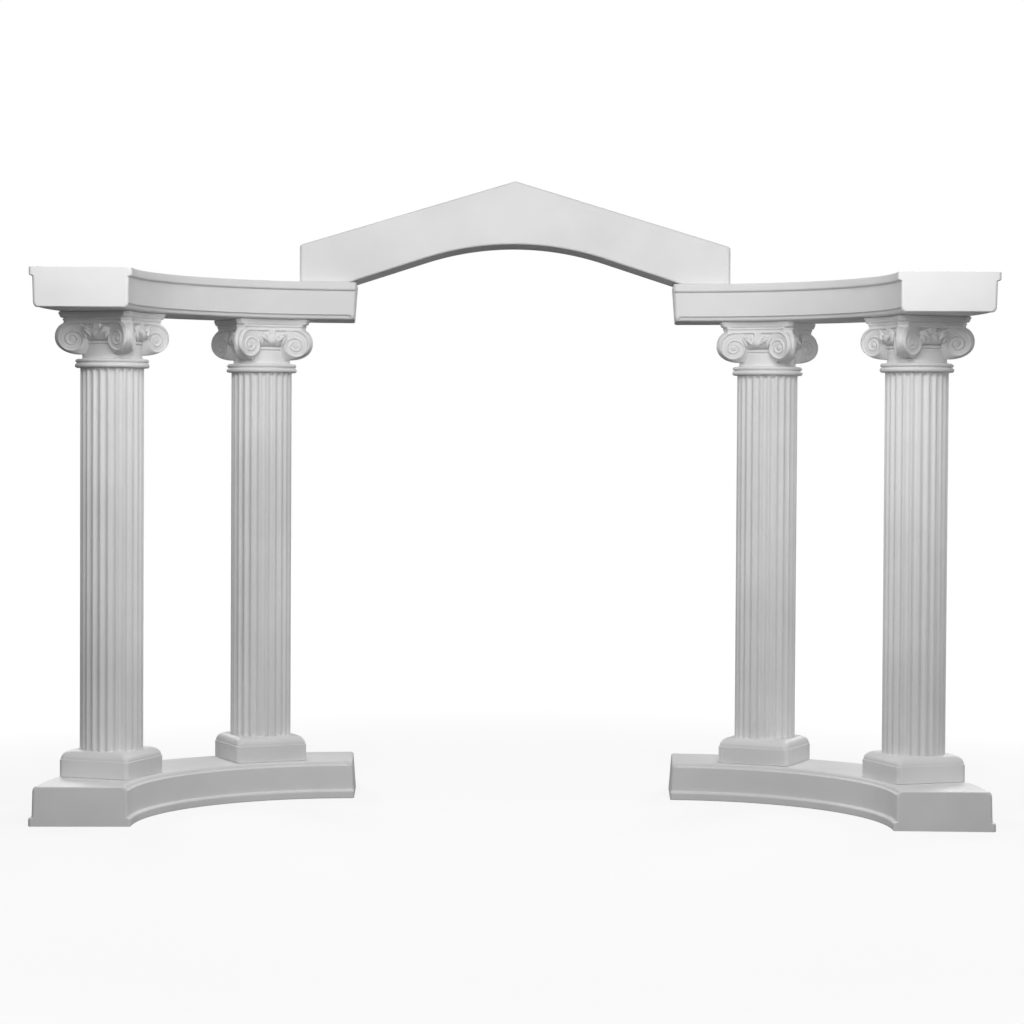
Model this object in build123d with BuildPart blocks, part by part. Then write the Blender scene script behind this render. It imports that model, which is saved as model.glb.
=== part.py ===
from build123d import *
from math import cos, radians, sin, sqrt
import os

# Driving dimensions, in millimetres and degrees

# Trays: one curved moulding serves as the base of a wing and, turned over, as its header
tray_height = 152.4
tray_width = 366.0
tray_mean_radius = 1030.0
tray_arc = 90.0
tray_end_draft = 3.5
tray_end_round = 12.0
flange_reach = 13.0
flange_height = 33.0
flange_chamfer = 8.0
shoulder_ledge = 4.0
shoulder_chamfer = 18.0

# Plan of the two wings: half the distance between their centres, and how far each opens outwards
wing_centre_offset = 623.0
wing_splay = 2.2

# Each column stands on the middle line of its tray, this share of the arc from the nearer end
column_arc_share = 0.25

# Column plinth: a square block with a ledge and a sloped shoulder
column_height = 1828.8
plinth_side = 305.0
plinth_face_height = 70.0
plinth_shoulder_height = 34.0
plinth_ledge = 4.0
plinth_corner_radius = 16.0
plinth_shoulder_chamfer = 22.0
plinth_shoulder_corner_radius = 28.0

# Fluted shaft
shaft_diameter = 250.0
flute_count = 24
flute_width = 25.0
flute_depth = 7.0

# Collar of two beads between shaft and capital
collar_diameter = 292.0
collar_height = 35.0
collar_groove_depth = 6.0
bead_flat_share = 0.4

# Capital: neck with a band, swelling echinus, four corner volutes and a hollow-sided abacus
capital_height = 185.0
neck_diameter = 236.0
neck_height = 54.0
neck_band_height = 14.0
neck_band_reach = 4.0
echinus_diameter = 284.0
echinus_height = 62.0
echinus_flat_share = 0.4
volute_radius = 60.0
volute_drop = 103.0
volute_centre_reach = 170.0
volute_sweep_reach = 104.0
volute_sweep_drop = 68.0
volute_rim_width = 28.0
volute_splay = 13.0
abacus_height = 26.0
abacus_reach = 214.0
abacus_corner_width = 30.0
abacus_hollow = 22.0
abacus_lip_height = 14.0
abacus_lip_reach = 6.0
cushion_height = 40.0
cushion_inset = 16.0

# Pediment panel with a low arch cut in its underside
pediment_half_length = 891.5
pediment_depth = 305.0
pediment_setback = 30.0
pediment_end_height = 155.0
pediment_peak_height = 423.0
pediment_edge_round = 12.0
arch_half_span = 691.0
arch_rise = 162.0
arch_flank_angle = 18.0

# Places that follow from the sizes above
header_top = 2 * tray_height + column_height
flange_inner_radius = tray_mean_radius - tray_width / 2 - flange_reach
flange_outer_radius = tray_mean_radius + tray_width / 2 + flange_reach
far_angle = 90 + wing_splay
near_angle = far_angle + tray_arc
wing_front = flange_outer_radius * sin(radians(near_angle))
wing_back = flange_outer_radius * sin(radians(far_angle))
ring_centre_y = -(wing_front + wing_back) / 2
plinth_height = plinth_face_height + plinth_shoulder_height
shaft_length = column_height - plinth_height - collar_height - capital_height
pediment_front_y = ring_centre_y + flange_inner_radius + pediment_setback

left_ring_centre = Vector(-wing_centre_offset, ring_centre_y)


def radial(angle):
    """Unit vector that points away from a wing's centre at this plan angle."""
    return Vector(cos(radians(angle)), sin(radians(angle)))


# Tray: the section is drawn on the far end and turned about the centre of the wing
tray_end = Plane(
    origin=left_ring_centre + radial(far_angle) * tray_mean_radius,
    x_dir=radial(far_angle),
    z_dir=radial(far_angle - 90),
)
half_width = tray_width / 2
ledge_height = tray_height - shoulder_chamfer

with BuildPart() as left_base:
    with BuildSketch(tray_end):
        with BuildLine():
            Polyline(
                (0, 0),
                (half_width + flange_reach, 0),
                (half_width + flange_reach, flange_height - flange_chamfer),
                (half_width + flange_reach - flange_chamfer, flange_height),
                (half_width, flange_height),
                (half_width, ledge_height),
                (half_width - shoulder_ledge, ledge_height),
                (half_width - shoulder_ledge - shoulder_chamfer, tray_height),
                (0, tray_height),
            )
            mirror(about=Plane.YZ)
        make_face()
    revolve(axis=Axis(left_ring_centre, (0, 0, 1)), revolution_arc=tray_arc)
    # Both ends lean in by the draft that lets the moulding leave its mould
    lean = radians(tray_end_draft)
    for angle, outwards in ((far_angle, far_angle - 90), (near_angle, near_angle + 90)):
        leaning_end = Plane(
            origin=left_ring_centre + radial(angle) * tray_mean_radius,
            x_dir=radial(angle),
            z_dir=radial(outwards) * cos(lean) + Vector(0, 0, sin(lean)),
        )
        split(bisect_by=leaning_end, keep=Keep.BOTTOM)
        end_face = left_base.faces().sort_by(Axis(leaning_end.origin, leaning_end.z_dir))[-1]
        wall_edges = end_face.edges().sort_by(SortBy.LENGTH)[-4:-2]
        fillet(wall_edges, radius=tray_end_round)

with BuildPart() as left_header:
    mirror(left_base.part, about=Plane.XY.offset(header_top / 2))

# Pediment: its front outline, drawn above the headers and carried back by its depth
flank = radians(arch_flank_angle)
arch_radius = (arch_half_span * sin(flank) - arch_rise * cos(flank)) / (1 - cos(flank))
arch_tangent_x = arch_radius * sin(flank)
arch_tangent_z = arch_rise - arch_radius * (1 - cos(flank))
pediment_front = Plane(origin=(0, pediment_front_y, header_top), x_dir=(1, 0, 0), z_dir=(0, -1, 0))

with BuildPart() as pediment:
    with BuildSketch(pediment_front):
        with BuildLine():
            Polyline(
                (0, pediment_peak_height),
                (pediment_half_length, pediment_end_height),
                (pediment_half_length, 0),
                (arch_half_span, 0),
                (arch_tangent_x, arch_tangent_z),
            )
            ThreePointArc((arch_tangent_x, arch_tangent_z), (0, arch_rise), (-arch_tangent_x, arch_tangent_z))
            Polyline(
                (-arch_tangent_x, arch_tangent_z),
                (-arch_half_span, 0),
                (-pediment_half_length, 0),
                (-pediment_half_length, pediment_end_height),
                (0, pediment_peak_height),
            )
        make_face()
    extrude(amount=-pediment_depth)
    fillet(pediment.edges().filter_by(Axis.Z), radius=pediment_edge_round)

# Plinth, standing on its own origin
with BuildPart() as plinth:
    with BuildSketch():
        RectangleRounded(plinth_side, plinth_side, plinth_corner_radius)
    extrude(amount=plinth_face_height)
    shoulder_side = plinth_side - 2 * plinth_ledge
    with BuildSketch(Plane.XY.offset(plinth_face_height)):
        RectangleRounded(shoulder_side, shoulder_side, plinth_shoulder_corner_radius)
    extrude(amount=plinth_shoulder_height)
    chamfer(plinth.faces().sort_by(Axis.Z)[-1].edges(), length=plinth_shoulder_chamfer)

# Shaft: a round bar with flutes whose circle follows from their width and depth
flute_radius = (flute_width**2 / 4 + flute_depth**2) / (2 * flute_depth)
flute_centre = shaft_diameter / 2 - flute_depth + flute_radius

with BuildPart() as shaft:
    with BuildSketch():
        Circle(shaft_diameter / 2)
        with PolarLocations(flute_centre, flute_count):
            Circle(flute_radius, mode=Mode.SUBTRACT)
    extrude(amount=shaft_length)

# Collar: two equal beads with a groove between them
bead_height = collar_height / 2
bead_slope = bead_height * (1 - bead_flat_share) / 2
collar_radius = collar_diameter / 2
collar_core = collar_radius - collar_groove_depth

with BuildPart() as collar:
    with BuildSketch(Plane.XZ):
        with BuildLine():
            Polyline(
                (0, 0),
                (collar_core, 0),
                (collar_radius, bead_slope),
                (collar_radius, bead_height - bead_slope),
                (collar_core, bead_height),
                (collar_radius, bead_height + bead_slope),
                (collar_radius, collar_height - bead_slope),
                (collar_core, collar_height),
                (0, collar_height),
                close=True,
            )
        make_face()
    revolve(axis=Axis.Z)


def abacus_outline(height, inset):
    """Hollow-sided square with cut corners at this height, set in by this much."""
    reach = (abacus_reach - inset) / sqrt(2)
    cut = abacus_corner_width / 2 / sqrt(2)
    near, far = reach - cut, reach + cut
    side = [Vector(far, -near), Vector(far - abacus_hollow, 0), Vector(far, near), Vector(near, far)]
    with BuildSketch(Plane.XY.offset(height)) as outline:
        with BuildLine():
            for turn in range(4):
                start, middle, end, corner = [point.rotate(Axis.Z, 90 * turn) for point in side]
                ThreePointArc(start, middle, end)
                Line(end, corner)
        make_face()
    return outline.sketch


# One corner volute on the positive X axis: round above its centre, with an underside that sweeps in to
# the neck, and two faces that draw together outwards
volute_height = capital_height - volute_drop
volute_reach = volute_centre_reach + volute_radius
sweep_centre = volute_radius - volute_sweep_reach
rim_half = volute_rim_width / 2
root_half = rim_half + volute_reach * sin(radians(volute_splay)) / cos(radians(volute_splay))
volute_plane = Plane(
    origin=(volute_centre_reach, 0, volute_height), x_dir=(1, 0, 0), z_dir=(0, -1, 0)
)

with BuildPart() as volute:
    with BuildSketch(volute_plane):
        with BuildLine():
            CenterArc((0, 0), volute_radius, 0, 180)
            Polyline(
                (-volute_radius, 0),
                (-volute_centre_reach, 0),
                (-volute_centre_reach, -volute_sweep_drop),
                (sweep_centre, -volute_sweep_drop),
            )
            EllipticalCenterArc(
                (sweep_centre, 0), volute_sweep_reach, volute_sweep_drop, start_angle=270, arc_size=90
            )
        make_face()
    extrude(amount=root_half, both=True)
    with BuildSketch():
        Polygon((0, -root_half), (volute_reach, -rim_half), (volute_reach, rim_half), (0, root_half), align=None)
    extrude(amount=capital_height, mode=Mode.INTERSECT)

# Capital: turned core, four volutes on the diagonals, cushion and abacus
neck_radius = neck_diameter / 2
band_radius = neck_radius + neck_band_reach
echinus_radius = echinus_diameter / 2
echinus_foot = neck_height + neck_band_height
echinus_slope = echinus_height * (1 - echinus_flat_share) / 2
cushion_top = capital_height - abacus_height

with BuildPart() as capital:
    with BuildSketch(Plane.XZ):
        with BuildLine():
            Polyline(
                (0, 0),
                (neck_radius, 0),
                (neck_radius, neck_height),
                (band_radius, neck_height),
                (band_radius, echinus_foot),
                (echinus_radius, echinus_foot + echinus_slope),
                (echinus_radius, echinus_foot + echinus_height - echinus_slope),
                (neck_radius, echinus_foot + echinus_height),
                (neck_radius, cushion_top),
                (0, cushion_top),
                close=True,
            )
        make_face()
    revolve(axis=Axis.Z)
    extrude(abacus_outline(cushion_top - cushion_height, cushion_inset), amount=cushion_height)
    extrude(abacus_outline(cushion_top, abacus_lip_reach), amount=abacus_height - abacus_lip_height)
    extrude(abacus_outline(capital_height - abacus_lip_height, 0), amount=abacus_lip_height)
    with PolarLocations(0, 4, start_angle=45):
        add(volute.part)

# Each column stands on its base at its own plan angle, one piece on top of the other
column_angles = {
    "left_outer": near_angle - tray_arc * column_arc_share,
    "left_inner": far_angle + tray_arc * column_arc_share,
}
column_pieces = {
    "plinth": (plinth.part, tray_height),
    "shaft": (shaft.part, tray_height + plinth_height),
    "collar": (collar.part, header_top - tray_height - capital_height - collar_height),
    "capital": (capital.part, header_top - tray_height - capital_height),
}

finished = {"left_base": left_base.part, "left_header": left_header.part}
for column, angle in column_angles.items():
    foot = left_ring_centre + radial(angle) * tray_mean_radius
    for piece, (pattern, height) in column_pieces.items():
        with BuildPart() as placed:
            with Locations(Location((foot.X, foot.Y, height), (0, 0, angle))):
                add(pattern)
        finished[f"{column}_{piece}"] = placed.part

# The right wing mirrors the left one
for name in list(finished):
    with BuildPart() as mirrored:
        mirror(finished[name], about=Plane.YZ)
    finished[name.replace("left", "right")] = mirrored.part
finished["pediment"] = pediment.part

os.makedirs("parts", exist_ok=True)
for name, part in finished.items():
    part.label = name
    export_step(part, f"parts/{name}.step")
    print(name, round(part.volume / 1e9, 5), "m3")
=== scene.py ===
# %% [markdown]
# # A moulded colonnade
# The colonnade is a set of hollow plastic mouldings: curved trays, fluted columns with scrolled
# capitals, and a pitched pediment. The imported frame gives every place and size. Each moulding is
# then drawn again here as a smooth surface, because a real mould has no sharp edges and the light
# on its rounded edges is what makes white plastic readable.

# %% Load the frame
import bmesh
import bpy
import numpy as np
from math import cos, radians, sin, sqrt, tan
from mathutils import Matrix, Vector


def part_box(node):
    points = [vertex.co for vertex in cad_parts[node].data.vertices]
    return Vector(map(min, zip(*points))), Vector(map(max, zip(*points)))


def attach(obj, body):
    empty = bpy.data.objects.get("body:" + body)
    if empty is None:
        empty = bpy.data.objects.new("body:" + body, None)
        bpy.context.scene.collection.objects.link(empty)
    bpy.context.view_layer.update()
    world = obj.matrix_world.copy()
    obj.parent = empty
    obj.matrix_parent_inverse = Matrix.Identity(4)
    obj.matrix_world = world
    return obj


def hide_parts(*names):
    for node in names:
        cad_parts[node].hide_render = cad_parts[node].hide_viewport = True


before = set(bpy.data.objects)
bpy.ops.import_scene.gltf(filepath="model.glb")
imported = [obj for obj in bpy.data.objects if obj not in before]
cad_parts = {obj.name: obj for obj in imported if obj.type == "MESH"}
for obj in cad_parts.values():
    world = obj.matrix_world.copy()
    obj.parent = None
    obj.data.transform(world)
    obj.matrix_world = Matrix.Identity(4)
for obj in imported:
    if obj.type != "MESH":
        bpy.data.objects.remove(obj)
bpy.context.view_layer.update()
mm = 0.001
scene = bpy.context.scene
scene.view_settings.view_transform = "Standard"
print("nodes:", len(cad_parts))

# %% [markdown]
# ## One way to make every moulding
# A moulding could be a primitive with bevels, but here each one is a stack of rings: a closed outline
# that changes from ring to ring. Quads join each ring with the next, and a flat face closes each
# end, so every skin is watertight. All points of a skin are worked out as one array.


# %% Faces over rings
def closed_skin(rings):
    """Faces over an array of rings, where rings[i, j] is point j of ring i.

    Point j of a ring is joined to point j + 1, and the last one to the first. A quad spans two
    neighbours on one ring and the same two on the next. The first and the last ring are each filled
    by one flat face.
    """
    ring_count, point_count = rings.shape[:2]
    index = np.arange(ring_count * point_count).reshape(ring_count, point_count)
    ahead = np.roll(index, -1, axis=1)
    quads = np.stack([index[:-1], ahead[:-1], ahead[1:], index[1:]], axis=-1)
    return quads.reshape(-1, 4).tolist() + [index[0][::-1].tolist(), index[-1].tolist()]


# %% From rings to a named piece
merge_distance = 0.01 * mm
sharp_angle = 62.0


def mould(name, node, skins, finish):
    """One named piece from one or more closed skins, in metres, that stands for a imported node.

    Doubled points are merged, all faces are turned outwards, and an edge stays sharp only where two
    faces meet at more than the sharp angle.
    """
    points, faces, start = [], [], 0
    for rings in skins:
        points.append(rings.reshape(-1, 3))
        faces += [[corner + start for corner in face] for face in closed_skin(rings)]
        start += len(points[-1])
    mesh = bpy.data.meshes.new(name)
    mesh.from_pydata(np.concatenate(points).tolist(), [], faces)
    shell = bmesh.new()
    shell.from_mesh(mesh)
    bmesh.ops.remove_doubles(shell, verts=shell.verts, dist=merge_distance)
    bmesh.ops.recalc_face_normals(shell, faces=shell.faces)
    shell.to_mesh(mesh)
    shell.free()
    mesh.shade_smooth()
    mesh.set_sharp_from_angle(angle=radians(sharp_angle))
    mesh.materials.append(finish)
    piece = bpy.data.objects.new(name, mesh)
    scene.collection.objects.link(piece)
    normals = piece.modifiers.new("flat faces stay flat", "WEIGHTED_NORMAL")
    normals.keep_sharp = True
    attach(piece, "root")
    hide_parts(node)
    return piece


# %% Arcs and soft steps
def bend(centre, radius, start, end, count=7):
    """Points on an arc in a plane, from one angle in degrees to another.

    A point is the centre plus the radius times the cosine across and the sine up. A pair of radii makes
    it an ellipse.
    """
    across, up = np.broadcast_to(radius, 2)
    angle = np.radians(np.linspace(start, end, count))
    return np.column_stack([centre[0] + across * np.cos(angle), centre[1] + up * np.sin(angle)])


def eased(share):
    """A share from 0 to 1 with level ends: three times its square less twice its cube."""
    return share**2 * (3 - 2 * share)


# %% [markdown]
# ## White rotomoulded polyethylene
# The real thing is white polyethylene, tumbled as powder in a hot mould. It has no grain, but its
# skin copies the blasted mould: a fine orange peel, a satin sheen and slow waves where the wall
# cooled unevenly. Handling leaves the skin a little greyer in patches. A single flat colour would
# look like paper, so one noise drives the peel, a slower one the sheen and the waves, and a third the
# tone.


# %% Colour and node helpers
def linear(code):
    """Linear RGBA of an sRGB hex colour: a power curve, with a straight line near black."""
    share = np.array([int(code[i : i + 2], 16) for i in (1, 3, 5)]) / 255
    low, high = share / 12.92, ((share + 0.055) / 1.055) ** 2.4
    return (*np.where(share <= 0.04045, low, high), 1.0)


def add_node(tree, kind, links=(), values=(), **settings):
    """Adds a node: settings are its properties, values its inputs, links (input, output) pairs."""
    made = tree.nodes.new(kind)
    for key, value in settings.items():
        setattr(made, key, value)
    for key, value in values:
        made.inputs[key].default_value = value
    for key, output in links:
        tree.links.new(output, made.inputs[key])
    return made


# %% Sizes and tones of the skin
# The real peel is about a millimetre across, and it is drawn coarser here so that it shows
peel_size = 3.5 * mm
peel_depth = 0.4 * mm
peel_strength = 0.08
wave_size = 190 * mm
wave_depth = 4.0 * mm
wave_strength = 0.35
tone_size = 420 * mm
handled_white, clean_white = "#E3E3E3", "#EEEEEE"
handled_share, clean_share = 0.32, 0.62
tone_detail, wave_detail, peel_detail = 4.0, 2.0, 3.0
sheen_low, sheen_high = 0.42, 0.56
plastic_ior = 1.51
plastic_specular = 0.4
print("peel, waves and tone:", peel_size, wave_size, tone_size, "m")


# %% Polyethylene
def polyethylene():
    """Satin white moulded plastic: its tone, sheen and skin all vary a little in the solid."""
    material = bpy.data.materials.new("rotomoulded_polyethylene")
    material.use_nodes = True
    tree = material.node_tree
    shader = tree.nodes["Principled BSDF"]
    place = add_node(tree, "ShaderNodeTexCoord").outputs["Object"]
    tone_values = [("Scale", 1 / tone_size), ("Detail", tone_detail)]
    tone = add_node(tree, "ShaderNodeTexNoise", [("Vector", place)], tone_values)
    shade = add_node(tree, "ShaderNodeValToRGB", [("Fac", tone.outputs["Fac"])])
    stops = ((handled_share, handled_white), (clean_share, clean_white))
    for stop, (position, white) in zip(shade.color_ramp.elements, stops):
        stop.position = position
        stop.color = linear(white)
    tree.links.new(shade.outputs["Color"], shader.inputs["Base Color"])
    wave_values = [("Scale", 1 / wave_size), ("Detail", wave_detail)]
    wave = add_node(tree, "ShaderNodeTexNoise", [("Vector", place)], wave_values)
    sheen_range = [("To Min", sheen_low), ("To Max", sheen_high)]
    sheen = add_node(tree, "ShaderNodeMapRange", [("Value", wave.outputs["Fac"])], sheen_range)
    tree.links.new(sheen.outputs["Result"], shader.inputs["Roughness"])
    peel_values = [("Scale", 1 / peel_size), ("Detail", peel_detail)]
    peel = add_node(tree, "ShaderNodeTexNoise", [("Vector", place)], peel_values)
    fine = add_node(
        tree,
        "ShaderNodeBump",
        [("Height", peel.outputs["Fac"])],
        [("Strength", peel_strength), ("Distance", peel_depth)],
    )
    slow = add_node(
        tree,
        "ShaderNodeBump",
        [("Height", wave.outputs["Fac"]), ("Normal", fine.outputs["Normal"])],
        [("Strength", wave_strength), ("Distance", wave_depth)],
    )
    tree.links.new(slow.outputs["Normal"], shader.inputs["Normal"])
    shader.inputs["IOR"].default_value = plastic_ior
    shader.inputs["Specular IOR Level"].default_value = plastic_specular
    return material


white_plastic = polyethylene()
print("material:", white_plastic.name)

# %% [markdown]
# ## Where the wings and columns are
# The plan is two quarter rings. Their radii are sizes of the moulding. Their centres could be typed in
# too, but they would drift when a size of the source changes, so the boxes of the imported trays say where
# the rings lie. The left wing is drawn, and the right one is its mirror image.

# %% Plan
tray_half_width = 183 * mm
flange_reach = 13 * mm
tray_mean_radius = 1030 * mm
tray_arc = 90.0
wing_splay = 2.2
column_arc_share = 0.25

flange_half_width = tray_half_width + flange_reach
flange_outer_radius = tray_mean_radius + flange_half_width
far_angle = 90 + wing_splay
base_low, base_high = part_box("left_base")
header_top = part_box("left_header")[1].z
ring_x = base_low.x + flange_outer_radius
ring_y = base_high.y - flange_outer_radius * sin(radians(far_angle))
tray_height = base_high.z - base_low.z
print("left ring centre", round(ring_x, 4), round(ring_y, 4), "tray height", round(tray_height, 4))


def mirrored(rings):
    """The same rings on the other side of the middle of the walkway."""
    return rings * np.array([-1.0, 1.0, 1.0])


# %% [markdown]
# ## Trays
# Each wing stands on a curved tray and carries the same tray turned over. Its section has a rounded
# flange at the open side, a plain wall and a small moulding: a cove and then a round. The section could
# be a bevelled curve, but its ends are rounded too and lean in by the draft of the mould, so it is
# carried along the arc as an array: near an end each ring shrinks on a quarter circle.

# %% Tray section
flange_height = 33 * mm
flange_round = 8 * mm
floor_round = 3 * mm
flange_cove = 5 * mm
wall_draft = 1.5 * mm
ledge_round = 1.5 * mm
moulding_cove = 9 * mm
moulding_round = (13 * mm, 10 * mm)
plain_round = (16 * mm, 22 * mm)


def tray_section(plain):
    """Closed outline of a tray, across and up: one side from floor to top, then its mirror image.

    The moulding at the top is a cove and then a round. A plain section has one wide round there, with
    the same number of points.
    """
    wall_top = tray_half_width - wall_draft
    cove_top = tray_height - moulding_round[1]
    ledge_top = cove_top - moulding_cove
    round_root = wall_top - ledge_round - moulding_cove
    moulding = np.concatenate([
        bend((wall_top - ledge_round, ledge_top - ledge_round), ledge_round, 0, 90, 4),
        bend((wall_top - ledge_round, cove_top), moulding_cove, 262, 184, 7),
        bend((round_root - moulding_round[0], cove_top), moulding_round, 0, 90, 8),
    ])
    if plain:
        centre = (wall_top - plain_round[0], tray_height - plain_round[1])
        moulding = bend(centre, plain_round, 0, 90, len(moulding))
    side = np.concatenate([
        bend((flange_half_width - floor_round, floor_round), floor_round, -90, 0, 4),
        bend((flange_half_width - flange_round, flange_height - flange_round), flange_round, 0, 90),
        bend((tray_half_width + flange_cove, flange_height + flange_cove), flange_cove, 270, 180, 5),
        moulding,
    ])
    return np.concatenate([side, side[::-1] * np.array([-1.0, 1.0])])


print("tray section:", len(tray_section(False)), "points")

# %% Trays along their arcs
end_round = 12 * mm
end_top_round = 5 * mm
end_draft = 3.5
moulding_fade = 18 * mm
end_rings = 8
fade_rings = 7
arc_rings = 84


def tray():
    """Rings of the left base: the section carried along a quarter ring from its far to its near end.

    At a distance s from an end that is less than the round r, a ring is drawn in sideways by
    r minus the root of r squared minus (r - s) squared. Higher points start further from the end, by
    the draft. Behind the round the plain section of the end turns into the moulded one.
    """
    length = radians(tray_arc) * tray_mean_radius
    turn = np.radians(np.linspace(0, 90, end_rings))
    start = np.concatenate([
        end_round * (1 - np.cos(turn)),
        end_round + moulding_fade * np.linspace(0, 1, fade_rings)[1:],
    ])
    along = np.concatenate([
        start,
        np.linspace(start[-1], length - start[-1], arc_rings)[1:-1],
        length - start[::-1],
    ])
    from_end = np.minimum(along, length - along)
    drawn_in = 1 - np.sqrt(1 - np.maximum(0, 1 - from_end / end_round) ** 2)
    fade = np.clip((from_end - end_round) / moulding_fade, 0, 1)[:, None, None]
    plain, moulded = tray_section(True), tray_section(False)
    section = plain + eased(fade) * (moulded - plain)
    across, up = section[..., 0], section[..., 1]
    across = across - np.sign(across) * (drawn_in * end_round)[:, None]
    up = up * (1 - drawn_in * end_top_round / tray_height)[:, None]
    lean = 1 - 2 * along[:, None] / length
    travel = along[:, None] + up * tan(radians(end_draft)) * lean
    angle = radians(far_angle) + travel / tray_mean_radius
    radius = tray_mean_radius + across
    x = ring_x + radius * np.cos(angle)
    y = ring_y + radius * np.sin(angle)
    return np.stack([x, y, base_low.z + up], axis=-1)


left_tray = tray()
turned_over = np.array([1.0, 1.0, -1.0])
lifted = np.array([0.0, 0.0, header_top + base_low.z])
for side, place in (("left", lambda rings: rings), ("right", mirrored)):
    mould(f"{side}_base_tray", f"{side}_base", [place(left_tray)], white_plastic)
    mould(f"{side}_header_tray", f"{side}_header", [place(left_tray * turned_over + lifted)], white_plastic)
print("trays:", left_tray.shape[0], "rings of", left_tray.shape[1], "points each")

# %% [markdown]
# ## Pediment
# The pediment is a straight beam whose top rises to a peak. Its underside is flat where it bears on the
# headers, then climbs a straight flank and runs into a low arch. It could be extruded from its front
# outline, but its edges and ends are all rounded, so it is a stack of upright rounded rectangles.

# %% Arch of the pediment
arch_half_span = 691 * mm
arch_rise = 162 * mm
arch_flank_angle = 18.0


def arch_height(reach):
    """How far the underside lies over its bearing, at a distance from the middle of the walkway.

    It is a circle under the crown and a straight flank outside the point where the two touch. So the
    radius is half the span times the flank's sine, less the rise times its cosine, over one minus that
    cosine.
    """
    flank = radians(arch_flank_angle)
    radius = (arch_half_span * sin(flank) - arch_rise * cos(flank)) / (1 - cos(flank))
    round_part = arch_rise - radius + np.sqrt(np.maximum(0, radius**2 - reach**2))
    straight_part = np.maximum(0, (arch_half_span - reach) * tan(flank))
    return np.where(reach < radius * sin(flank), round_part, straight_part)


print("arch:", arch_height(0.0).round(3), "m high in the middle")

# %% Pediment surface
pediment_end_height = 155 * mm
pediment_edge_round = 9 * mm
pediment_end_round = 14 * mm
end_crown_share = 0.4
crease_round = 6 * mm
bearing_rings = 6
arch_rings = 48
pediment_low, pediment_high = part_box("pediment")


def pediment():
    """Rings across the pediment, from left to right.

    The top falls in a straight line from the peak to the ends, and the underside follows the arch. At
    the ends the rings are drawn in on a quarter circle, above and below by a share of that.
    """
    low, high = pediment_low, pediment_high
    half_length = high.x
    turn = np.radians(np.linspace(0, 90, end_rings))
    end_steps = half_length - pediment_end_round * (1 - np.cos(turn))
    steps = np.concatenate([
        end_steps,
        np.linspace(half_length - pediment_end_round, arch_half_span + crease_round, bearing_rings)[1:],
        np.linspace(arch_half_span - crease_round, crease_round, arch_rings),
    ])
    x = np.concatenate([-steps, [0.0], steps[::-1]])
    reach = np.abs(x)
    drawn_in = np.maximum(0, reach - half_length + pediment_end_round)
    drawn_in = pediment_end_round - np.sqrt(pediment_end_round**2 - drawn_in**2)
    fall = (high.z - low.z - pediment_end_height) * reach / half_length
    top = high.z - fall - end_crown_share * drawn_in
    foot = low.z + arch_height(reach) + end_crown_share * drawn_in
    corner = pediment_edge_round
    quarter = bend((0, 0), corner, 0, 90, 6)
    turns = [quarter, quarter[::-1] * (-1, 1), -quarter, quarter[::-1] * (1, -1)]
    ends = [(1, 1), (-1, 1), (-1, -1), (1, -1)]
    middle, half_depth = (low.y + high.y) / 2, (high.y - low.y) / 2
    rings = []
    for (front, upper), edge in zip(ends, turns):
        y = middle + front * (half_depth - corner - drawn_in)[:, None] + edge[None, :, 0]
        z = (top - corner if upper > 0 else foot + corner)[:, None] + edge[None, :, 1]
        rings.append(np.stack([np.broadcast_to(x[:, None], y.shape), y, z], axis=-1))
    return np.concatenate(rings, axis=1)


panel = pediment()
mould("pediment_panel", "pediment", [panel], white_plastic)
print("pediment:", panel.shape[0], "rings")

# %% [markdown]
# ## Columns: one set of parts, four places
# The four columns are the same mouldings, so each part is worked out once about an upright axis and
# then turned and set down on its place. A column faces the middle of its own ring, so it is turned by
# its angle on the ring.

# %% Places of the columns
near_angle = far_angle + tray_arc
column_angles = {
    "left_outer": near_angle - tray_arc * column_arc_share,
    "left_inner": far_angle + tray_arc * column_arc_share,
}


def columns():
    """Name, turn in degrees and foot of each column, the right ones as mirror images.

    A foot is the ring's centre plus the mean radius times the cosine and the sine of its angle.
    """
    for name, angle in column_angles.items():
        x = ring_x + tray_mean_radius * cos(radians(angle))
        y = ring_y + tray_mean_radius * sin(radians(angle))
        yield name, angle, (x, y)
        yield name.replace("left", "right"), 180 - angle, (-x, y)


def stand(rings, turn, foot, height):
    """Rings turned about the upright axis and moved to a column's foot and height."""
    c, s = cos(radians(turn)), sin(radians(turn))
    spin = np.array([[c, s, 0], [-s, c, 0], [0, 0, 1]])
    return rings @ spin + np.array([*foot, height])


def set_up(part, node_part, skins):
    """Puts copies of these skins on all four columns, each at the foot of the node it stands for."""
    for name, turn, foot in columns():
        node = f"{name}_{node_part}"
        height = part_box(node)[0].z
        mould(f"{name}_{part}", node, [stand(rings, turn, foot, height) for rings in skins], white_plastic)
    print(part, "on four columns:", sum(rings.shape[0] * rings.shape[1] for rings in skins), "points each")


for name, turn, foot in columns():
    print(name, "column at", np.round(foot, 3), "turned by", round(turn, 1), "degrees")

# %% [markdown]
# ## Plinths
# A plinth is a square block with soft corners, a thin ledge and a rounded shoulder that the shaft
# stands on. A cube with bevels would give one radius all over, so it is lofted instead: each ring is a
# rounded square with its own half width, corner and height.

# %% Rounded squares
corner_points = 9


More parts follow.
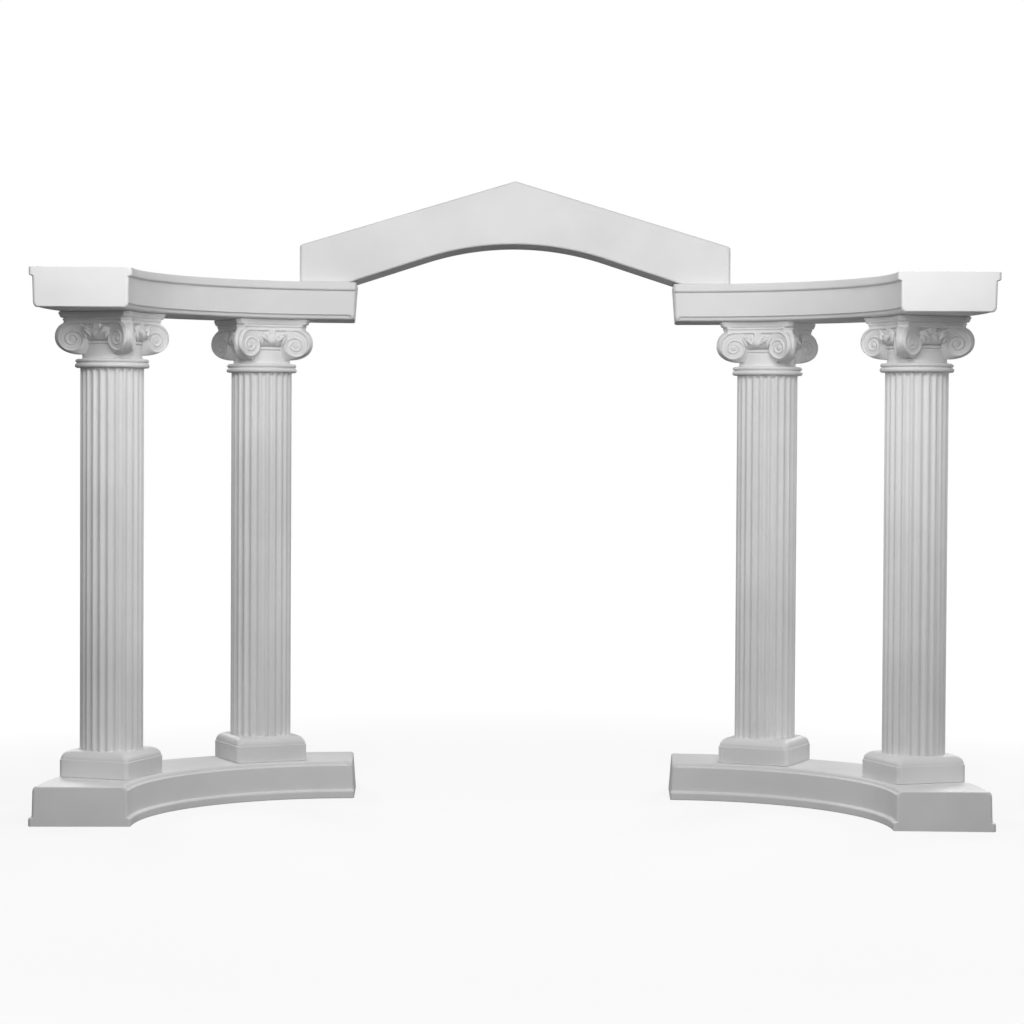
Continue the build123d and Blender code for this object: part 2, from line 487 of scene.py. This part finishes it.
def rounded_squares(half, corner, height):
    """Rings of rounded squares: for each ring its half width, corner radius and height.

    A corner is a quarter circle about a point that lies the half width less the corner radius from both
    middle lines. The other three are the same corner in quarter turns.
    """
    quarter = np.radians(np.linspace(0, 90, corner_points))
    rings = []
    for turn in range(4):
        x = (half - corner)[:, None] + corner[:, None] * np.cos(quarter)[None, :]
        y = (half - corner)[:, None] + corner[:, None] * np.sin(quarter)[None, :]
        c, s = cos(radians(90 * turn)), sin(radians(90 * turn))
        z = np.broadcast_to(height[:, None], x.shape)
        rings.append(np.stack([c * x - s * y, s * x + c * y, z], axis=-1))
    return np.concatenate(rings, axis=1)


# %% Plinth surface
plinth_half = 152.5 * mm
plinth_face_height = 70 * mm
plinth_height = 104 * mm
plinth_corner = 18 * mm
plinth_ledge = 2.5 * mm
plinth_shoulder = 33 * mm
plinth_edge = 4 * mm
corner_growth_share = 0.5


def plinth():
    """Rounded squares up the plinth: foot, face, ledge and a shoulder on a quarter ellipse.

    Where the plinth draws in, its corners grow by a share of that.
    """
    shoulder_foot = plinth_half - plinth_ledge
    shoulder_rise = plinth_height - plinth_face_height
    profile = np.concatenate([
        bend((plinth_half - plinth_edge, plinth_edge), plinth_edge, -90, 0, 4),
        bend((plinth_half - plinth_edge, plinth_face_height - plinth_edge), plinth_edge, 0, 90, 5),
        bend(
            (shoulder_foot - plinth_shoulder, plinth_face_height),
            (plinth_shoulder, shoulder_rise),
            0, 90, 11,
        ),
    ])
    inset = plinth_half - profile[:, 0]
    return rounded_squares(profile[:, 0], plinth_corner + corner_growth_share * inset, profile[:, 1])


set_up("plinth_block", "plinth", [plinth()])

# %% [markdown]
# ## Fluted shafts
# Each shaft has twenty-four hollow flutes between narrow lands. They run straight into the plinth and
# end in round scoops under the collar. Cutting them with booleans would leave razor edges, so the
# radius is a function of angle and height: a parabola across each flute, turned into a bowl at its
# top, with a soft change between hollow and land.

# %% Shaft surface
shaft_radius = 125 * mm
flute_count = 24
flute_width = 26 * mm
flute_depth = 8.5 * mm
flute_top_gap = 3 * mm
land_softness = 0.45 * mm
points_per_flute = 16
straight_rings = 5
bowl_rings = 20
shaft_low, shaft_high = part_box("left_outer_shaft")
shaft_length = shaft_high.z - shaft_low.z


def shaft():
    """Rings up the shaft: radius minus the depth of the flute at each angle and height.

    The depth is flute depth times one minus the square of e over half the flute width, where e is the
    distance from the flute's middle line, or from the centre of its round end above that centre. The
    softened positive part of that depth is what is taken off.
    """
    bowl = shaft_length - flute_top_gap - flute_width / 2
    height = np.concatenate([
        np.linspace(0, bowl, straight_rings),
        np.linspace(bowl, shaft_length, bowl_rings)[1:],
    ])
    angle = np.linspace(0, 2 * np.pi, flute_count * points_per_flute, endpoint=False)
    pitch = 2 * np.pi / flute_count
    off_middle = ((angle + pitch / 2) % pitch - pitch / 2) * shaft_radius
    above = np.maximum(0, height - bowl)
    distance = np.sqrt(off_middle[None, :] ** 2 + above[:, None] ** 2)
    depth = flute_depth * (1 - (distance / (flute_width / 2)) ** 2)
    depth = land_softness * np.logaddexp(0, depth / land_softness)
    radius = shaft_radius - depth
    z = np.broadcast_to(height[:, None], radius.shape)
    return np.stack([radius * np.cos(angle), radius * np.sin(angle), z], axis=-1)


set_up("fluted_shaft", "shaft", [shaft()])

# %% [markdown]
# ## Turned mouldings
# The collar and the bell of the capital are turned forms. A Screw modifier could spin their profiles,
# but then no relief could be added to the radius, so one function works out the rings. The collar is two
# beads with a thin groove between them, the lower one fuller.


# %% Collar
def turned(profile, count=128):
    """Rings of a turned form: each profile point, radius and height, goes round a circle."""
    angle = np.linspace(0, 2 * np.pi, count, endpoint=False)
    radius, height = profile[:, :1], profile[:, 1:]
    z = np.broadcast_to(height, (len(profile), count))
    return np.stack([radius * np.cos(angle), radius * np.sin(angle), z], axis=-1)


collar_radius = 146 * mm
lower_bead_height = 18 * mm
upper_bead_height = 15 * mm
bead_gap = 2 * mm
bead_reach = 8 * mm
upper_bead_setback = 2 * mm


def collar():
    """Profile of two half-round beads, one over the other, with a groove between them."""
    core = collar_radius - bead_reach
    upper_foot = lower_bead_height + bead_gap
    return np.concatenate([
        bend((core, lower_bead_height / 2), (bead_reach, lower_bead_height / 2), -90, 90, 13),
        bend(
            (core - upper_bead_setback, upper_foot + upper_bead_height / 2),
            (bead_reach, upper_bead_height / 2),
            -90, 90, 11,
        ),
    ])


set_up("collar_beads", "collar", [turned(collar())])

# %% [markdown]
# ## Bell of the capital
# Under the scrolls the capital is a turned bell: a plain neck, a bead between two fine grooves and a
# swelling ovolo with eggs and darts. Separate eggs would leave cracks, so the relief is added to the
# radius: an egg is a half ellipsoid, a thin rim runs round it, and a dart stands between two rims.

# %% Profile of the bell
neck_radius = 117 * mm
neck_flare = 5 * mm
neck_flare_rise = 15 * mm
neck_top = 51 * mm
bead_foot = 55 * mm
bead_top = 69 * mm
ovolo_radius = 142 * mm
ovolo_foot = 72 * mm
ovolo_rise = 42 * mm
bell_top = 160 * mm
groove_depth = 5 * mm
bead_swell = 9.5 * mm
ovolo_swell_share = 0.6
ovolo_from, ovolo_to = -80, 60


def bell_profile():
    """Radius and height from the foot of the neck to the top of the bell.

    The flare and the bead are parts of ellipses, the ovolo is a longer part of one, and straight steps
    join them.
    """
    bead_middle = (bead_foot + bead_top) / 2
    bead_half = (bead_top - bead_foot) / 2
    swell = ovolo_rise * ovolo_swell_share
    ovolo_reach = ovolo_radius - neck_radius
    return np.concatenate([
        bend((neck_radius + neck_flare, neck_flare_rise), (neck_flare, neck_flare_rise), 270, 180, 6),
        np.array([(neck_radius, neck_top - neck_flare)]),
        bend((neck_radius - groove_depth, neck_top), groove_depth, 0, 90, 4),
        np.array([(neck_radius - groove_depth, bead_foot)]),
        bend((neck_radius - groove_depth, bead_middle), (bead_swell, bead_half), -90, 90, 9),
        np.array([(neck_radius - groove_depth, ovolo_foot)]),
        bend((neck_radius, ovolo_foot + swell), (ovolo_reach, swell), ovolo_from, ovolo_to, 24),
        np.array([(neck_radius + groove_depth, bell_top)]),
    ])


print("bell profile:", len(bell_profile()), "points")

# %% Eggs and darts
bell_points = 240
egg_count = 16
egg_height = 42 * mm
egg_width = 46 * mm
egg_relief = 8 * mm
egg_stretch_share = 0.62
egg_reach_share = 0.72
rim_reach_share = 0.98
rim_half_share = 0.11
rim_relief_share = 0.45
dart_half = 3 * mm
dart_relief_share = 0.5
sunk_share = 0.5
egg_fade = 3 * mm


def bell():
    """The turned bell with eggs: above the foot of the ovolo, relief is added to the radius.

    The reach of a place is its distance from the middle of an egg, in half widths and stretched heights.
    An egg is the root of one minus the square of that over the egg's own reach. Rim and dart are bell
    curves of the distances from their lines.
    """
    rings = turned(bell_profile(), bell_points)
    angle = np.arctan2(rings[..., 1], rings[..., 0])
    radius = np.hypot(rings[..., 0], rings[..., 1])
    pitch = 2 * np.pi / egg_count
    off_egg = ((angle + pitch / 2) % pitch - pitch / 2) * ovolo_radius
    off_dart = (angle % pitch - pitch / 2) * ovolo_radius
    up = rings[..., 2] - (ovolo_foot + egg_height / 2)
    reach = np.hypot(off_egg / (egg_width / 2), up / (egg_height * egg_stretch_share))
    egg = np.sqrt(np.maximum(0, 1 - (reach / egg_reach_share) ** 2))
    rim = np.exp(-(((reach - rim_reach_share) / rim_half_share) ** 2))
    dart = np.exp(-((off_dart / dart_half) ** 2))
    band = np.clip((rings[..., 2] - ovolo_foot) / egg_fade, 0, 1)
    relief = egg + rim_relief_share * rim + dart_relief_share * dart - sunk_share
    radius = radius + band * egg_relief * relief
    return np.stack([radius * np.cos(angle), radius * np.sin(angle), rings[..., 2]], axis=-1)


set_up("capital_bell", "capital", [bell()])

# %% [markdown]
# ## Field between the scrolls
# On each side of the capital two borders run from scroll to scroll, one under the abacus and one that
# turns down on both sides of a rib in the middle, with a hollow below. Wires laid on a board would
# show joints, so the borders are soft ridges on a field, at a set distance from their lines. The field
# is hollow in plan like the abacus over it, and it carries the faces of the scrolls too.

# %% Plan of the field
capital_height = 185 * mm
abacus_foot = 159 * mm
field_middle = 129 * mm
field_half = 123.7 * mm
field_rise = 26 * mm


def field_reach(y):
    """Distance of the field from the middle of the capital, at a place across a side.

    It grows with the cube of that place up to the stalk of the scroll and in a straight line after it.
    """
    share = np.abs(y) / field_half
    return field_middle + field_rise * np.where(share < 1, share**3, 3 * share - 2)


print("field reach:", field_reach(np.array([0.0, field_half])).round(3))

# %% Field surface
field_foot = 113 * mm
top_border_level = 154 * mm
second_border_level = 138 * mm
border_half = 3.6 * mm
border_height = 5 * mm
rib_half = 13 * mm
hollow_depth = 4 * mm
field_sink = 2.5 * mm
stalk_round = 5 * mm
scroll_start = 100 * mm
border_end_fade = 8 * mm
hollow_side_fade = 8 * mm
hollow_foot_fade = 6 * mm
foot_lip = 3 * mm
rib_relief_share = 0.7
abacus_overlap = 2 * mm
field_points, field_rings = 75, 36


def field():
    """Rings up the field, each once round the capital, with its borders, rib and hollows as relief.

    The second border follows the edge of a quarter plane beyond the rib and below the border level: a
    ridge is a bell curve of the signed distance from that edge, and ends where the scroll takes it over.
    The rib is a half ellipse across its width.
    """
    y = np.linspace(-field_half, field_half, field_points)[None, :]
    z = np.linspace(field_foot, abacus_foot + abacus_overlap, field_rings)[:, None]
    beyond, below = np.abs(y) - rib_half, second_border_level - z
    outside = np.hypot(np.minimum(beyond, 0), np.minimum(below, 0))
    edge = np.where((beyond > 0) & (below > 0), np.minimum(beyond, below), -outside)
    border_end = np.clip((scroll_start - np.abs(y)) / border_end_fade, 0, 1)
    second = np.exp(-((edge / border_half) ** 2)) * border_end
    top = np.exp(-(((z - top_border_level) / border_half) ** 2))
    above_foot = z - field_foot
    sunk = np.clip(edge / hollow_side_fade, 0, 1) * np.clip(above_foot / hollow_foot_fade, 0, 1)
    rib = np.sqrt(np.maximum(0, 1 - (y / rib_half) ** 2)) * (below > 0)
    lip = np.sqrt(np.clip(above_foot / foot_lip, 0, 1))
    x = field_reach(y) - field_sink - hollow_depth * sunk
    x = x + border_height * (np.maximum(second, top) + rib_relief_share * rib + lip - 1)
    corner = np.maximum(0, np.abs(y) - field_half + stalk_round)
    x = x - stalk_round + np.sqrt(stalk_round**2 - corner**2)
    y, z = y + 0 * x, z + 0 * x
    sides = [(x, y), (-y, x), (-x, -y), (y, -x)]
    return np.concatenate([np.stack([a, b, z], axis=-1) for a, b in sides], axis=1)


set_up("scroll_field", "capital", [field()])

# %% [markdown]
# ## Corner volutes
# The four scrolls are what the eye looks for, and they take the most care. Each is a block on a
# diagonal with a round outer end. Its two faces lie on the fields of its two sides, and on each a thin
# fillet winds in from the second border to a domed eye. Outside the fillet the flank falls away and
# sweeps down to the neck. The block is a polar grid about its centre: from the eye of one face out to
# the outline, across the rim, and in again to the other eye. The fillet is relief on that grid, so it
# flows into the face, and no separate wire lies on it.

# %% Volute outline
volute_radius = 60 * mm
volute_centre_reach = 170 * mm
volute_centre_height = 84 * mm
root_reach = 80 * mm
sweep_reach = 104 * mm
sweep_drop = 68 * mm
hidden_from, hidden_to = 140.0, 180.0
tiny = 1e-9


def volute_outline(angle):
    """Distance from the volute's centre to its outline at each angle.

    Above the centre the outline is a circle that grows a little where it is hidden behind the bell.
    Below it is the quarter of a wide ellipse that ends under the bell: the distance is the positive root
    of the quadratic that puts a point on that ellipse.
    """
    c, s = np.cos(angle), np.sin(angle)
    hidden = np.clip((np.degrees(angle) - hidden_from) / (hidden_to - hidden_from), 0, 1)
    above = volute_radius + (root_reach - volute_radius) * eased(hidden)
    offset = sweep_reach - volute_radius
    a = (c / sweep_reach) ** 2 + (s / sweep_drop) ** 2
    b = 2 * c * offset / sweep_reach**2
    below = (-b + np.sqrt(b**2 - 4 * a * ((offset / sweep_reach) ** 2 - 1))) / (2 * a)
    return np.where(s >= 0, above, np.minimum(below, root_reach / np.maximum(-c, tiny)))


quarter_turns = np.radians([0.0, 90.0, 180.0, -90.0])
print("volute reach out, up, in and down:", volute_outline(quarter_turns).round(3))

# %% Volute spiral
spiral_drop = 9 * mm
spiral_start = 63 * mm
spiral_tightness = 0.72
spiral_turns = 2.15
spiral_fade = 0.3
top_of_turn = 0.25
fillet_share = 0.035
fillet_least = 2 * mm
band_hollow = 1.5 * mm
eye_radius = 11 * mm
flank_gap = 5 * mm
flank_slope = 1.3
flank_top = 25 * mm
flank_fade = 30 * mm


def spiral_face(along, up):
    """Relief of a volute's face, in from the eye to the flank; the eye lies a little below the centre.

    The fillet is a spiral whose radius shrinks by the same share in each turn, so the logarithm of the
    radius tells on which turn a place lies and how far it is from the fillet. Left of the top the
    fillet runs on level as the second border. The bands between two turns are a little hollow. Below
    the centre the flank falls away in proportion to the distance outside the first turn.
    """
    up = up + spiral_drop
    distance = np.hypot(along, up) + tiny
    turned_by = (top_of_turn - np.arctan2(up, along) / (2 * np.pi)) % 1
    phase = np.log(spiral_start / distance) / spiral_tightness - turned_by
    turn = np.maximum(0, np.round(phase))
    off = (phase - turn) * spiral_tightness * distance
    half = fillet_least + fillet_share * distance
    strength = np.clip((spiral_turns - turn - turned_by) / spiral_fade, 0, 1)
    fillet = strength * np.exp(-((off / half) ** 2))
    level = np.where(along < 0, np.exp(-(((up - spiral_start) / border_half) ** 2)), 0)
    eye = np.sqrt(np.maximum(0, 1 - (distance / eye_radius) ** 2))
    hollow = np.where(phase > 0, np.maximum(0, 1 - (2 * (phase - turn)) ** 2 - fillet), 0)
    first = spiral_start * np.exp(-spiral_tightness * turned_by)
    lower = np.clip((flank_top - up) / flank_fade, 0, 1)
    fall = flank_slope * np.maximum(0, distance - first - flank_gap) * eased(lower)
    return border_height * np.maximum(np.maximum(fillet, level), eye) - band_hollow * hollow - fall


print("eye:", spiral_face(0.0, -spiral_drop).round(4), "m proud of the face")

# %% Thickness of a scroll
diagonal_share = 1.4
diagonal_points = 200


def scroll_half(along):
    """Half the thickness of a scroll at a distance out from its centre: the field from a diagonal.

    A point x, y of the field's plan lies (x + y) / root 2 along the diagonal and (x - y) / root 2 off it.
    """
    y = np.linspace(0, diagonal_share * field_half, diagonal_points)
    x = field_reach(y)
    return np.interp(volute_centre_reach + along, (x + y) / sqrt(2), (x - y) / sqrt(2))


print("scroll:", (2 * scroll_half(0.0)).round(3), "m thick at its centre")

# %% Volute surface
rim_hollow = 3.5 * mm
edge_round = 6 * mm
face_proud = 1.2 * mm
volute_points = 120
middle_share, inner_share = 0.03, 0.3
inner_rings, outer_rings = 24, 36
edge_rings, rim_rings = 6, 9


def volute():
    """Rings of one corner volute on the positive X axis, from one eye round to the other.

    The rings of a face are its outline scaled down to the centre, closest together round the eye,
    and the last of them turn over a rounded edge. The rim between the faces is hollowed by a parabola.
    """
    angle = np.linspace(-np.pi, np.pi, volute_points, endpoint=False)
    outline = volute_outline(angle)
    turn = np.radians(np.linspace(0, 90, edge_rings))[1:, None]
    share = np.concatenate([
        np.geomspace(middle_share, inner_share, inner_rings),
        np.linspace(inner_share, 1, outer_rings)[1:],
    ])
    flat = share[:, None] * (outline - edge_round)[None, :]
    rounded = outline[None, :] - edge_round + edge_round * np.sin(turn)
    distance = np.concatenate([flat, rounded])
    sunk = np.concatenate([0 * flat, edge_round * (1 - np.cos(turn)) + 0 * rounded])
    along = distance * np.cos(angle)
    up = distance * np.sin(angle)
    face = scroll_half(along) - field_sink + face_proud + spiral_face(along, up) - sunk
    front = np.stack([volute_centre_reach + along, face, volute_centre_height + up], axis=-1)
    back = front[::-1] * np.array([1.0, -1.0, 1.0])
    across = np.linspace(1, -1, rim_rings)[1:-1][:, None]
    rim_distance = outline[None, :] - rim_hollow * (1 - across**2)
    rim = np.stack([
        volute_centre_reach + rim_distance * np.cos(angle),
        across * face[-1][None, :],
        volute_centre_height + rim_distance * np.sin(angle),
    ], axis=-1)
    return np.concatenate([front, rim, back])


one_volute = volute()
set_up("corner_volutes", "capital", [stand(one_volute, 45 + 90 * k, (0, 0), 0) for k in range(4)])

# %% [markdown]
# ## Abacus
# The abacus is the slab on top of the scrolls. Its four sides are hollow and its corners are cut, and
# its edge is a small cove under a rounded lip. Cylinders could cut the hollows out of a square slab, but
# the moulding would stop at the cuts. Here the same outline is set in by a different amount on each
# ring, which carries the moulding round all sides at once.

# %% Abacus surface
abacus_reach = 214 * mm
abacus_corner = 14 * mm
abacus_hollow = 25 * mm
lip_height = 13 * mm
lip_round = 6 * mm
cove_depth = 12 * mm
cove_inset = 4 * mm
lip_inset = 3 * mm
lip_step = 1 * mm
side_points = 25


def hollow_square(inset, height):
    """Rings of a square with cut corners, set in by a different amount on each ring.

    Each side is hollowed by a parabola that is zero at its two corners.
    """
    across = np.linspace(-1, 1, side_points)
    reach = ((abacus_reach - inset) / sqrt(2))[:, None]
    cut = abacus_corner / sqrt(2)
    x = reach + cut - abacus_hollow * (1 - across**2)
    y = (reach - cut) * across
    z = np.broadcast_to(height[:, None], x.shape)
    sides = [(x, y), (-y, x), (-x, -y), (y, -x)]
    return np.concatenate([np.stack([a, b, z], axis=-1) for a, b in sides], axis=1)


def abacus():
    """Profile of cove, fillet and lip from the scrolls up, as inset and height."""
    lip_foot = capital_height - lip_height
    cove_top = lip_foot - lip_step
    profile = np.concatenate([
        bend((cove_depth + cove_inset, cove_top), (cove_depth, cove_top - abacus_foot), -90, -180, 8),
        np.array([(lip_inset, lip_foot)]),
        bend((lip_round, lip_foot + lip_round), lip_round, 225, 180, 4),
        bend((lip_round, capital_height - lip_round), lip_round, 180, 90, 6),
    ])
    return hollow_square(profile[:, 0], profile[:, 1])


set_up("abacus_slab", "capital", [abacus()])

# %% [markdown]
# ## Leaves beside the scrolls
# A fan of three leaves hides each corner between a scroll and the eggs. Flat leaves with a thickness
# would look cut from sheet. A leaf here is a slim closed body along a bowed line: its sections are
# ellipses that swell and close again, and a midrib runs along its outside. The three lobes start at one
# place and differ only in their tips.

# %% Leaf surface
leaf_start = np.array([134.0, 65.0, 118.0]) * mm
leaf_tips = np.array([(137.0, 22.0, 109.0), (144.0, 17.0, 88.0), (133.0, 42.0, 76.0)]) * mm
leaf_half_width = 8 * mm
leaf_half_height = 6 * mm
leaf_bow = 5 * mm
leaf_lift = 4 * mm
leaf_end_share = 0.01
leaf_widest_power, leaf_fullness_power = 1.3, 0.7
midrib_height_share, midrib_half_share = 0.45, 0.25
leaf_rings, leaf_points = 20, 18


def leaf(tip, side):
    """Rings along one leaf: an ellipse whose size follows a sine, with a ridge along its outside.

    The size is a power of the sine of half a turn times a power of the share of the way, so the leaf is
    full and widest past its middle. Its line bows sideways and lifts outwards by sines of that share.
    """
    share = np.linspace(leaf_end_share, 1 - leaf_end_share, leaf_rings)[:, None]
    turn = np.linspace(0, 2 * np.pi, leaf_points, endpoint=False)[None, :]
    swell = np.sin(np.pi * share**leaf_widest_power) ** leaf_fullness_power
    run = tip - leaf_start
    normal = np.array([-run[2], run[1]]) / np.hypot(run[1], run[2])
    sideways = leaf_half_width * swell * np.cos(turn) - leaf_bow * np.sin(np.pi * share)
    ridge = midrib_height_share * np.exp(-((np.cos(turn) / midrib_half_share) ** 2))
    midrib = np.where(np.sin(turn) > 0, 1 + ridge, 1)
    x = leaf_start[0] + run[0] * share + leaf_lift * np.sin(np.pi * share)
    x = x + leaf_half_height * swell * np.sin(turn) * midrib
    y = leaf_start[1] + run[1] * share + normal[0] * sideways
    z = leaf_start[2] + run[2] * share + normal[1] * sideways
    return np.stack([x, side * y, z], axis=-1)


fan = [leaf(tip, side) for tip in leaf_tips for side in (-1, 1)]
set_up("capital_leaves", "capital", [stand(lobe, 90 * k, (0, 0), 0) for k in range(4) for lobe in fan])

# %% [markdown]
# ## Floor and surround
# The photograph shows the colonnade cut out on white, so a pale floor and a white world stand behind
# it. A floor lit up to white would throw too much light at the undersides. This one is grey to the light
# and white to the camera alone, by a glow that grows with the distance from the middle, and it keeps the
# object's shadow. Nothing here is metal or glass, so the glow and the white world stay out of reflections.

# %% Floor
floor_size = 60.0
mesh = bpy.data.meshes.new("floor")
corners = floor_size / 2 * np.array([(-1, -1, 0), (1, -1, 0), (1, 1, 0), (-1, 1, 0)])
mesh.from_pydata(corners.tolist(), [], [(0, 1, 2, 3)])
floor = bpy.data.objects.new("floor", mesh)
scene.collection.objects.link(floor)
print("floor:", floor_size, "m wide")

# %% Studio paper
# Coated card would mirror the plinths. Studio paper is matt, so it scatters light and has no gloss
floor_grey = "#727272"
glow_near, glow_far = 2.0, 6.5
glow_least, glow_most = 0.82, 0.99
paper = bpy.data.materials.new("matt_studio_paper")
paper.use_nodes = True
tree = paper.node_tree
tree.nodes.clear()
matt = add_node(tree, "ShaderNodeBsdfDiffuse", values=[("Color", linear(floor_grey))])
place = add_node(tree, "ShaderNodeTexCoord").outputs["Object"]
away = add_node(tree, "ShaderNodeVectorMath", [(0, place)], operation="LENGTH")
level = add_node(
    tree,
    "ShaderNodeMapRange",
    [("Value", away.outputs["Value"])],
    [("From Min", glow_near), ("From Max", glow_far), ("To Min", glow_least), ("To Max", glow_most)],
    interpolation_type="SMOOTHSTEP",
)
glow = add_node(tree, "ShaderNodeEmission", [("Strength", level.outputs["Result"])])
dark = add_node(tree, "ShaderNodeEmission", values=[("Strength", 0.0)])
seen = add_node(tree, "ShaderNodeLightPath").outputs["Is Camera Ray"]
lift = add_node(tree, "ShaderNodeMixShader", [(0, seen), (1, dark.outputs[0]), (2, glow.outputs[0])])
both = add_node(tree, "ShaderNodeAddShader", [(0, matt.outputs[0]), (1, lift.outputs[0])])
add_node(tree, "ShaderNodeOutputMaterial", [("Surface", both.outputs[0])])
mesh.materials.append(paper)
print("material:", paper.name)

# %% World
world_strength = 0.24
backdrop_strength = 1.0
world = bpy.data.worlds.new("white_surround")
scene.world = world
world.use_nodes = True
tree = world.node_tree
tree.nodes.clear()
white = ("Color", linear("#FFFFFF"))
light = add_node(tree, "ShaderNodeBackground", values=[white, ("Strength", world_strength)])
backdrop = add_node(tree, "ShaderNodeBackground", values=[white, ("Strength", backdrop_strength)])
seen = add_node(tree, "ShaderNodeLightPath").outputs["Is Camera Ray"]
shown = add_node(tree, "ShaderNodeMixShader", [(0, seen), (1, light.outputs[0]), (2, backdrop.outputs[0])])
add_node(tree, "ShaderNodeOutputWorld", [("Surface", shown.outputs[0])])
print("world:", world_strength, "to the light,", backdrop_strength, "to the camera")

# %% [markdown]
# ## Lamps
# One broad lamp over the camera would wash out the relief. Each wing has its own key instead, high and
# near, so that the header shades the capitals and the light falls off towards the floor. A lower lamp
# from the far side crosses it and models the flutes, and two lamps behind keep the back readable. A weak
# one stands low on the right, because in the photograph the undersides are lighter on that side.


# %% Lamps
def softbox(name, place, target, width, height, power):
    """A rectangular soft light that looks from one point at another, in metres and watts."""
    lamp = bpy.data.lights.new(name, "AREA")
    lamp.shape = "RECTANGLE"
    lamp.size, lamp.size_y = width, height
    lamp.energy = power
    made = bpy.data.objects.new(name, lamp)
    made.location = place
    made.rotation_euler = (Vector(target) - Vector(place)).to_track_quat("-Z", "Y").to_euler()
    made.visible_camera = False
    scene.collection.objects.link(made)


for side, way in (("left", -1), ("right", 1)):
    softbox(f"{side}_key", (way * 1.35, -2.35, 3.15), (way * 1.8, -0.3, 1.8), 1.2, 1.0, 28)
    softbox(f"{side}_front", (-way * 1.0, -3.2, 2.4), (way * 1.2, 0.0, 1.6), 1.0, 0.8, 19)
    softbox(f"{side}_back", (way * 3.0, 4.2, 3.0), (way * 0.9, 0.3, 1.5), 1.8, 1.8, 75)
softbox("right_low", (3.8, -0.4, 0.8), (1.1, 0.3, 1.2), 1.0, 1.0, 9)

# %% [markdown]
# ## Camera
# The photograph was taken from about ten metres away with a long lens, a little above half height. A
# camera placed by eye would leave every edge a little off. Its place, lens and small turns were fitted to
# the corners of the trays and to the columns, and its axes are worked out from those turns.

# %% Camera
camera_place = (-0.4 * mm, ring_y - 10.226, 1.4621)
focal_pixels = 2677.1
picture_pixels = 1024
tilt_down, roll, swing = radians(1.41), radians(0.322), radians(0.035)
sideways = Vector((cos(swing), sin(swing), 0))
ahead = Vector((-sin(swing), cos(swing), 0))
upright = Vector((0, 0, 1))
view = cos(tilt_down) * ahead - sin(tilt_down) * upright
above = sin(tilt_down) * ahead + cos(tilt_down) * upright
right = cos(roll) * sideways + sin(roll) * above
up = cos(roll) * above - sin(roll) * sideways
lens = bpy.data.cameras.new("camera")
lens.sensor_width = 36
lens.lens = focal_pixels / picture_pixels * lens.sensor_width
lens.clip_end = 200
camera = bpy.data.objects.new("camera", lens)
pose = Matrix((right, up, -view)).transposed().to_4x4()
pose.translation = Vector(camera_place)
camera.matrix_world = pose
scene.collection.objects.link(camera)
scene.camera = camera
print("lens", round(lens.lens, 1), "mm")
